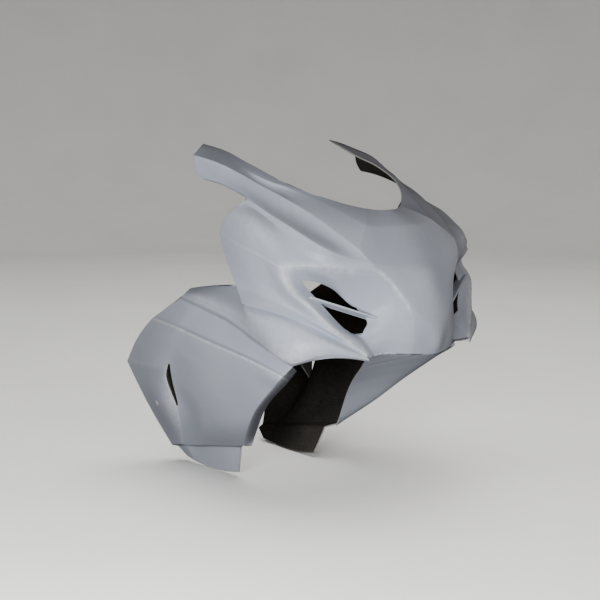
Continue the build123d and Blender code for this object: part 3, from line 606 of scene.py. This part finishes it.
lip_seeds = [v for v, m in mark.items() if "uc5" in m and X0[v][2] < lip_top]
hood_seeds = [v for v, m in mark.items() if "ur3" in m and hood_from < X0[v][0] < hood_to]
nose_seeds = [v for v, m in mark.items() if "uc9" in m and crease_end < X0[v][2] < crease_top]
crest_seeds = [v for v, m in mark.items() if m.get("sv3", 0) > 0.3]
groove_seeds = [v for v, m in mark.items() if "bv2" in m and "sv2" in m]
# painted highlight beside the side panel's crease line and painted shade beside its groove
ridge = np.maximum(ridge, 1.5 * beside(crest_seeds, 4.0, 1.5))
fold = np.maximum(fold, 1.9 * beside(groove_seeds, 3.6, 1.2))
ridge = np.maximum.reduce([ridge, 1.2 * beside(lip_seeds, 10.0, 3.0), 1.0 * beside(hood_seeds, 10.0, 3.0), 1.3 * beside(nose_seeds, 4.5, 1.5)])
near = border.astype(float)
for _ in range(5):
    near = np.maximum(near, 0.72 * np.maximum.reduce([near, mean_of_neighbours(near[:, None])[:, 0] * 1.35]))
near = np.clip(near, 0, 1)

pts, faces, mats = [], [], []
att = {"edge": [], "ridge": [], "fold": []}


def push(p, e, r, f):
    pts.append(p)
    att["edge"].append(e)
    att["ridge"].append(r)
    att["fold"].append(f)


# the laminate thins into the tight corner where the middle panel's rear edge ends
thick = np.full(N, SKIN)
for v, m in mark.items():
    if border[v] and "ur8" in m and "bv0" in m:
        thick = np.minimum(thick, SKIN * np.clip(0.25 + 0.75 * np.linalg.norm(X - X[v], axis=1) / 9.0, 0.25, 1.0))
rim = 1.9 * border * (thick / SKIN)
tight = thick < 0.98 * SKIN          # gel coat runs round the edge in that corner
outer_pos = X - away * rim[:, None]
inner_pos = X - normal * thick[:, None] - away * rim[:, None]
for v in range(N):
    push(outer_pos[v], near[v], ridge[v], fold[v])
for v in range(N):
    push(inner_pos[v], near[v], fold[v], ridge[v])
for k, q in enumerate(quads):
    faces.append(tuple(int(c) for c in q))
    # the turned-in lip's outside gets the dark laminate: painted shade in the slit
    mats.append(1 if k in lip_quads else 0)
for q in quads:
    faces.append(tuple(int(c) + N for c in q[::-1]))
    mats.append(0 if tight[q].all() else 1)
rings = {}
for v in np.nonzero(border)[0]:
    r = [v]
    for back_off, depth in ((0.75, 0.0), (0.12, 0.26), (0.12, 0.74), (0.75, 1.0)):
        r.append(len(pts))
        push(X[v] - away[v] * back_off * thick[v] / SKIN - normal[v] * thick[v] * depth, 1.0, 0.0, 0.0)
    r.append(v + N)
    rings[v] = r
for a, b in border_dir:
    for k in range(5):
        faces.append((int(rings[b][k]), int(rings[a][k]), int(rings[a][k + 1]), int(rings[b][k + 1])))
        mats.append(0 if k < 2 or (tight[a] and tight[b]) else (2 if k < 4 else 1))


# raised round pad on the rear strip of each side panel, with painted highlight on its top and painted shade round its
# foot
def bez_point(sheet, cell, v, u):
    b = np.array(sheet.patch(*cell))
    return np.einsum("i,j,ijk", bern(v), bern(u), b)


pad_at = bez_point(sheet_s, (5, 0), 0.97, 0.41)
PAD_PROFILE = [(7.2, -0.35), (6.2, -0.05), (5.5, 0.30), (5.15, 0.85), (4.8, 1.2), (4.2, 1.36), (2.6, 1.4), (1.0, 1.28)]
for hand in (1, -1):
    c = pad_at * np.array([1, hand, 1])
    v = int(np.argmin(np.linalg.norm(X - c, axis=1)))
    nn = normal[v]
    c = c - nn * float(np.dot(c - X[v], nn))
    a1 = np.cross(nn, [0, 0, 1.0])
    a1 /= np.linalg.norm(a1)
    a2 = np.cross(nn, a1)
    ring_ids = []
    for rad, hgt in PAD_PROFILE:
        row = []
        for k in range(40):
            t = 2 * math.pi * k / 40
            p = c + (a1 * math.cos(t) + a2 * math.sin(t)) * rad
            # follow the panel at the foot
            w = int(np.argmin(np.linalg.norm(X - p, axis=1)))
            p = p - nn * float(np.dot(p - X[w], normal[w])) * (1 if hgt < 0.2 else 0.5)
            row.append(len(pts))
            # ridge value 1 on the pad's top is painted highlight; fold value 0.7 at its foot is painted shade
            push(p + nn * hgt, 0, 1.0 if hgt > 0.8 else 0, 0.7 if hgt < 0.2 else 0)
        ring_ids.append(row)
    top = len(pts)
    # the pad's centre point: painted highlight
    push(c + nn * 1.25, 0, 1.0, 0)
    for r in range(len(ring_ids) - 1):
        for k in range(40):
            f = (ring_ids[r][k], ring_ids[r][(k + 1) % 40], ring_ids[r + 1][(k + 1) % 40], ring_ids[r + 1][k])
            faces.append(f)
            mats.append(0)
    for k in range(40):
        faces.append((ring_ids[-1][k], ring_ids[-1][(k + 1) % 40], top))
        mats.append(0)


def make_object(name, p, f, m, materials, attributes=None):
    me = bpy.data.meshes.new(name)
    me.from_pydata([tuple(float(c) / 1000.0 for c in q) for q in p], [], f)
    for mt in materials:
        me.materials.append(mt)
    me.polygons.foreach_set("material_index", m)
    me.polygons.foreach_set("use_smooth", [True] * len(f))
    for k, vals in (attributes or {}).items():
        a = me.attributes.new(k, "FLOAT", "POINT")
        a.data.foreach_set("value", [float(x) for x in vals])
    me.update()
    me.validate()
    ob = bpy.data.objects.new(name, me)
    bpy.context.scene.collection.objects.link(ob)
    return ob


# ---------------------------------------------------------------- materials
class Nodes:
    def __init__(self, name):
        self.mat = bpy.data.materials.new(name)
        self.mat.use_nodes = True
        self.t = self.mat.node_tree
        self.bsdf = self.t.nodes["Principled BSDF"]
        self.coord = self.t.nodes.new("ShaderNodeTexCoord").outputs["Object"]

    def link(self, a, b):
        self.t.links.new(a, b)

    def noise(self, scale, detail=4, rough=0.5, vec=None, distort=0.0):
        n = self.t.nodes.new("ShaderNodeTexNoise")
        n.inputs["Scale"].default_value = scale
        n.inputs["Detail"].default_value = detail
        n.inputs["Roughness"].default_value = rough
        n.inputs["Distortion"].default_value = distort
        self.link(vec or self.coord, n.inputs["Vector"])
        return n.outputs["Fac"]

    def mapped(self, scale, rot):
        n = self.t.nodes.new("ShaderNodeMapping")
        n.inputs["Scale"].default_value = scale
        n.inputs["Rotation"].default_value = rot
        self.link(self.coord, n.inputs["Vector"])
        return n.outputs["Vector"]

    def ramp(self, fac, stops):
        n = self.t.nodes.new("ShaderNodeValToRGB")
        e = n.color_ramp.elements
        while len(e) < len(stops):
            e.new(0.5)
        for el, (p, c) in zip(e, stops):
            el.position = p
            el.color = tuple(c) + (1.0,) if len(c) == 3 else c
        self.link(fac, n.inputs["Fac"])
        return n.outputs["Color"]

    def level(self, fac, lo, hi, out_lo=0.0, out_hi=1.0):
        n = self.t.nodes.new("ShaderNodeMapRange")
        n.inputs["From Min"].default_value = lo
        n.inputs["From Max"].default_value = hi
        n.inputs["To Min"].default_value = out_lo
        n.inputs["To Max"].default_value = out_hi
        self.link(fac, n.inputs["Value"])
        return n.outputs["Result"]

    def math(self, op, a, b):
        n = self.t.nodes.new("ShaderNodeMath")
        n.operation = op
        for k, x in enumerate((a, b)):
            if isinstance(x, (int, float)):
                n.inputs[k].default_value = x
            else:
                self.link(x, n.inputs[k])
        return n.outputs["Value"]

    def mix(self, fac, a, b):
        n = self.t.nodes.new("ShaderNodeMix")
        n.data_type = "RGBA"
        for s, x in ((n.inputs["Factor"], fac), (n.inputs[6], a), (n.inputs[7], b)):
            if isinstance(x, (int, float)):
                s.default_value = x
            elif isinstance(x, tuple):
                s.default_value = x + (1.0,)
            else:
                self.link(x, s)
        return n.outputs[2]

    def attr(self, name):
        n = self.t.nodes.new("ShaderNodeAttribute")
        n.attribute_name = name
        return n.outputs["Fac"]

    def voronoi(self, scale, feature="F1", vec=None):
        n = self.t.nodes.new("ShaderNodeTexVoronoi")
        n.feature = feature
        n.inputs["Scale"].default_value = scale
        self.link(vec or self.coord, n.inputs["Vector"])
        return n.outputs["Distance"]

    def bump(self, height, dist, strength=1.0, under=None):
        n = self.t.nodes.new("ShaderNodeBump")
        n.inputs["Distance"].default_value = dist
        n.inputs["Strength"].default_value = strength
        self.link(height, n.inputs["Height"])
        if under is not None:
            self.link(under, n.inputs["Normal"])
        return n.outputs["Normal"]


def gelcoat(name, tint):
    g = Nodes(name)
    cloud = g.noise(9.0, 5, 0.55)
    base = g.ramp(cloud, [(0.30, (0.60 * tint, 0.655 * tint, 0.775 * tint)), (0.72, (0.68 * tint, 0.73 * tint, 0.835 * tint))])
    # print-through of the strands under the gel coat
    strands = g.noise(1.0, 3, 0.6, g.mapped((55, 150, 70), (0.3, 0.5, 0.9)))
    base = g.mix(g.level(strands, 0.52, 0.74, 0.0, 0.10), base, (0.56 * tint, 0.58 * tint, 0.64 * tint))
    # painted shade in the folds, with some dust, mottled by noise
    dust_shade_noise = g.noise(26.0, 6, 0.62, distort=0.6)
    base = g.mix(g.math("MULTIPLY", g.attr("fold"), g.level(dust_shade_noise, 0.3, 0.7, 0.28, 0.55)), base, (0.36 * tint, 0.38 * tint, 0.43 * tint))
    # specks
    speck = g.level(g.voronoi(260.0), 0.045, 0.085, 1.0, 0.0)
    some = g.level(g.noise(40.0, 2), 0.56, 0.64, 0.0, 0.55)
    base = g.mix(g.math("MULTIPLY", speck, some), base, (0.34, 0.33, 0.31))
    # ridges lightened: painted highlight, with some rubbed wear; trimmed edges sanded
    rub_and_highlight = g.math("MULTIPLY", g.attr("ridge"), g.level(g.noise(120.0, 4), 0.36, 0.66, 0.25, 0.8))
    base = g.mix(rub_and_highlight, base, (0.95 * tint, 0.98 * tint, 1.03 * tint))
    trim = g.math("MULTIPLY", g.level(g.attr("edge"), 0.55, 1.0), g.level(g.noise(170.0, 5, 0.6), 0.38, 0.70, 0.0, 0.75))
    base = g.mix(trim, base, (0.58 * tint, 0.56 * tint, 0.51 * tint))
    g.link(base, g.bsdf.inputs["Base Color"])
    # gloss: even, with fingered and sanded patches
    smear = g.noise(1.0, 5, 0.6, g.mapped((14, 40, 24), (0.2, 0.9, 0.4)), 0.8)
    rough = g.level(smear, 0.34, 0.70, 0.36, 0.54)
    rough = g.math("ADD", rough, g.math("MULTIPLY", g.attr("edge"), 0.16))
    g.link(rough, g.bsdf.inputs["Roughness"])
    g.bsdf.inputs["Specular IOR Level"].default_value = 0.5
    g.bsdf.inputs["Coat Weight"].default_value = 0.06
    g.bsdf.inputs["Coat Roughness"].default_value = 0.25
    b = g.bump(g.noise(22.0, 3, 0.5), 0.0009, 0.5)
    b = g.bump(strands, 0.00022, 0.5, b)
    b = g.bump(g.noise(520.0, 3, 0.5), 0.00006, 0.5, b)
    g.link(b, g.bsdf.inputs["Normal"])
    return g.mat


def laminate(name):
    g = Nodes(name)
    fibre = None
    for scale, rot in (((900, 26, 120), (0.2, 0.3, 0.5)), ((30, 800, 140), (0.9, 0.1, 1.1)), ((700, 120, 24), (0.4, 1.2, 0.3)),
                       ((120, 34, 850), (1.0, 0.6, 0.2)), ((28, 130, 760), (0.5, 0.9, 1.4))):
        n = g.level(g.noise(1.0, 2, 0.5, g.mapped(scale, rot)), 0.50, 0.72)
        fibre = n if fibre is None else g.math("MAXIMUM", fibre, n)
    pool = g.noise(14.0, 5, 0.6)
    # near-black resin colour: painted shade for the hollow inside, over the laminate's own brown
    base = g.ramp(pool, [(0.30, (0.030, 0.026, 0.022)), (0.52, (0.045, 0.039, 0.034)), (0.72, (0.062, 0.054, 0.047))])
    base = g.mix(g.level(fibre, 0.1, 0.9, 0.0, 0.65), base, (0.115, 0.104, 0.092))
    # darker along the inside's folds: painted shade
    base = g.mix(g.math("MULTIPLY", g.attr("fold"), 0.35), base, (0.025, 0.021, 0.018))
    base = g.mix(g.math("MULTIPLY", g.level(g.attr("edge"), 0.6, 1.0), 0.5), base, (0.20, 0.185, 0.16))
    g.link(base, g.bsdf.inputs["Base Color"])
    g.link(g.level(pool, 0.35, 0.68, 0.34, 0.68), g.bsdf.inputs["Roughness"])
    b = g.bump(pool, 0.0012, 0.6)
    b = g.bump(fibre, 0.0005, 0.8, b)
    g.link(b, g.bsdf.inputs["Normal"])
    return g.mat


def cut_edge(name):
    g = Nodes(name)
    n = g.noise(330.0, 5, 0.6)
    lay = g.noise(1.0, 3, 0.5, g.mapped((90, 90, 900), (0.1, 0.2, 0.3)))
    base = g.ramp(n, [(0.32, (0.46, 0.44, 0.39)), (0.70, (0.66, 0.65, 0.61))])
    base = g.mix(g.level(lay, 0.45, 0.7, 0.0, 0.35), base, (0.36, 0.33, 0.27))
    g.link(base, g.bsdf.inputs["Base Color"])
    g.link(g.level(n, 0.3, 0.7, 0.5, 0.75), g.bsdf.inputs["Roughness"])
    g.link(g.bump(n, 0.0003, 0.6), g.bsdf.inputs["Normal"])
    return g.mat


mat_gel = gelcoat("gelcoat_white", 0.88)
mat_lam = laminate("laminate_raw")
mat_cut = cut_edge("laminate_cut")
# the strip's gel coat is a lighter copy of the skin's: painted highlight on the strip
mat_strip = gelcoat("gelcoat_strip_white", 0.94)

skin = make_object("fairing_skin_visual", pts, faces, mats, [mat_gel, mat_lam, mat_cut], att)
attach(skin, "root")
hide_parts("fairing_skin")


# ---------------------------------------------------------------- the strip across each intake
STRIP_A = np.array([231.2, -181.0, 50.3]) - ORIGIN
STRIP_B = np.array([284.0, -79.0, 10.6]) - ORIGIN
STRIP_DEPTH, STRIP_THICK = 20.0, 3.0
hole = [np.array(q) - ORIGIN for q in (UPPER["r4"][6], UPPER["r6"][6], UPPER["r5"][8])]
out_dir = np.cross(hole[1] - hole[0], hole[2] - hole[0])
out_dir /= np.linalg.norm(out_dir)
if out_dir[1] > 0:
    out_dir = -out_dir


def unit_v(v):
    return v / np.linalg.norm(v)


def strip_mesh(hand):
    along = unit_v(STRIP_B - STRIP_A)
    into = unit_v(-out_dir + along * float(np.dot(out_dir, along)))
    n = np.cross(along, into)
    if n[2] < 0:
        n = -n
    length = float(np.linalg.norm(STRIP_B - STRIP_A))
    p, f, e, r = [], [], [], []
    stations = 34
    profile = []
    h = STRIP_THICK / 2
    for k in range(7):                                  # rounded front edge
        t = math.pi / 2 + math.pi * k / 6
        profile.append((h + h * math.cos(t) * 1.0, h * math.sin(t), 0.9))
    for k in range(9):
        profile.append((h + 0.6 + (STRIP_DEPTH - h - 1.2) * k / 8, -h, 0.1))
    for k in range(5):
        t = -math.pi / 2 + math.pi * k / 4
        profile.append((STRIP_DEPTH - 0.6 + 0.6 * math.cos(t), h * math.sin(t), 0.8))
    for k in range(9):
        profile.append((STRIP_DEPTH - 0.6 - (STRIP_DEPTH - h - 1.2) * k / 8, h, 0.1))
    for s in range(stations + 1):
        t = s / stations
        for d, w, edge in profile:
            q = STRIP_A + along * (-4.0 + (length + 4.0) * t) + into * d + n * w
            q = q * np.array([1, hand, 1])
            p.append(q)
            e.append(0.0)
            # ridge value on the strip's rounded edges: painted highlight
            r.append(edge * 0.6)
    m = len(profile)
    for s in range(stations):
        for k in range(m):
            q = (s * m + k, s * m + (k + 1) % m, (s + 1) * m + (k + 1) % m, (s + 1) * m + k)
            f.append(q if hand > 0 else q[::-1])
    f.append(tuple(range(m))[::-1] if hand > 0 else tuple(range(m)))
    f.append(tuple(stations * m + k for k in range(m)) if hand > 0 else tuple(stations * m + k for k in range(m))[::-1])
    return p, f, {"edge": e, "ridge": r, "fold": [0.0] * len(p)}


for hand, node in ((1, "right_intake_strip"), (-1, "left_intake_strip")):
    p, f, a = strip_mesh(hand)
    ob = make_object(node + "_visual", p, f, [0] * len(f), [mat_strip], a)
    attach(ob, "root")
    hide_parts(node)


# ---------------------------------------------------------------- floor, light and camera
def floor_material():
    g = Nodes("floor_pale")
    n = g.noise(3.0, 5, 0.55)
    g.link(g.ramp(n, [(0.3, (0.60, 0.595, 0.58)), (0.7, (0.64, 0.635, 0.62))]), g.bsdf.inputs["Base Color"])
    g.link(g.level(g.noise(18.0, 4), 0.3, 0.7, 0.62, 0.8), g.bsdf.inputs["Roughness"])
    return g.mat


low = cad_low[2] - 0.0004
fm = bpy.data.meshes.new("floor")
# a round floor whose rim sweeps up into a plain backdrop
rims = [(0.25, 0.0), (1.2, 0.0), (2.4, 0.0), (3.4, 0.0)]
rims += [(3.4 + 1.8 * math.sin(math.pi * k / 32), 1.8 - 1.8 * math.cos(math.pi * k / 32)) for k in range(1, 17)]
rims += [(5.2, 2.6), (5.2, 3.6)]
around = 96
fv = [(-0.3, 0.0, low)]
for r, h in rims:
    fv += [(-0.3 + r * math.cos(2 * math.pi * k / around), r * math.sin(2 * math.pi * k / around), low + h) for k in range(around)]
ff = [(0, 1 + k, 1 + (k + 1) % around) for k in range(around)]
for r in range(len(rims) - 1):
    a, b = 1 + r * around, 1 + (r + 1) * around
    ff += [(a + k, b + k, b + (k + 1) % around, a + (k + 1) % around) for k in range(around)]
fm.from_pydata(fv, [], ff)
for q in fm.polygons:
    q.use_smooth = True
fm.materials.append(floor_material())
floor = bpy.data.objects.new("floor", fm)
bpy.context.scene.collection.objects.link(floor)
floor.visible_diffuse = False
floor.visible_glossy = False

target = Vector((-ORIGIN[0] / 1000, 0.0, -ORIGIN[2] / 1000))


def from_angle(az, el, dist):
    a, e = math.radians(az), math.radians(el)
    return target + Vector((math.sin(a) * math.cos(e), -math.cos(a) * math.cos(e), math.sin(e))) * dist


def aim(ob, at):
    ob.rotation_euler = (at - ob.location).to_track_quat("-Z", "Y").to_euler()


def softbox(name, az, el, dist, size, power, at=None, colour=(1.0, 1.0, 1.0)):
    li = bpy.data.lights.new(name, "AREA")
    li.shape = "RECTANGLE"
    li.size, li.size_y = size
    li.energy = power
    li.color = colour
    ob = bpy.data.objects.new(name, li)
    ob.location = from_angle(az, el, dist)
    bpy.context.scene.collection.objects.link(ob)
    aim(ob, at or target)
    return ob


WARM = (1.0, 0.90, 0.83)
softbox("key", 28, 5, 1.4, (0.4, 0.4), 12.0, colour=(0.97, 0.99, 1.0))
softbox("front", 70, 5, 1.4, (0.4, 0.4), 3.6)
softbox("rim", 115, 25, 1.6, (0.5, 0.5), 1.9, colour=WARM)
softbox("top", 70, 50, 1.7, (0.6, 0.6), 1.4, colour=WARM)
softbox("low", 12, -12, 1.3, (0.4, 0.25), 1.9, colour=(1.0, 0.82, 0.76))

# the floor has a lamp of its own, so that it stays pale under a low key light
lit = bpy.data.collections.new("floor_only")
bpy.context.scene.collection.children.link(lit)
lit.objects.link(floor)
wash = softbox("wash", 48, 88, 3.3, (5.0, 5.0), 330)
wash.light_linking.receiver_collection = lit

world = bpy.data.worlds.new("studio")
world.use_nodes = True
world.node_tree.nodes["Background"].inputs["Color"].default_value = (1.0, 0.92, 0.86, 1.0)
world.node_tree.nodes["Background"].inputs["Strength"].default_value = 0.03
bpy.context.scene.world = world

cam = bpy.data.cameras.new("camera")
cam.lens = 77.28
cam.sensor_width = 36.0
cam.sensor_fit = "HORIZONTAL"
cam.clip_start, cam.clip_end = 0.05, 50
cam_ob = bpy.data.objects.new("camera", cam)
cam_ob.location = from_angle(48, 9, 2.3)
bpy.context.scene.collection.objects.link(cam_ob)
aim(cam_ob, target)
bpy.context.scene.camera = cam_ob
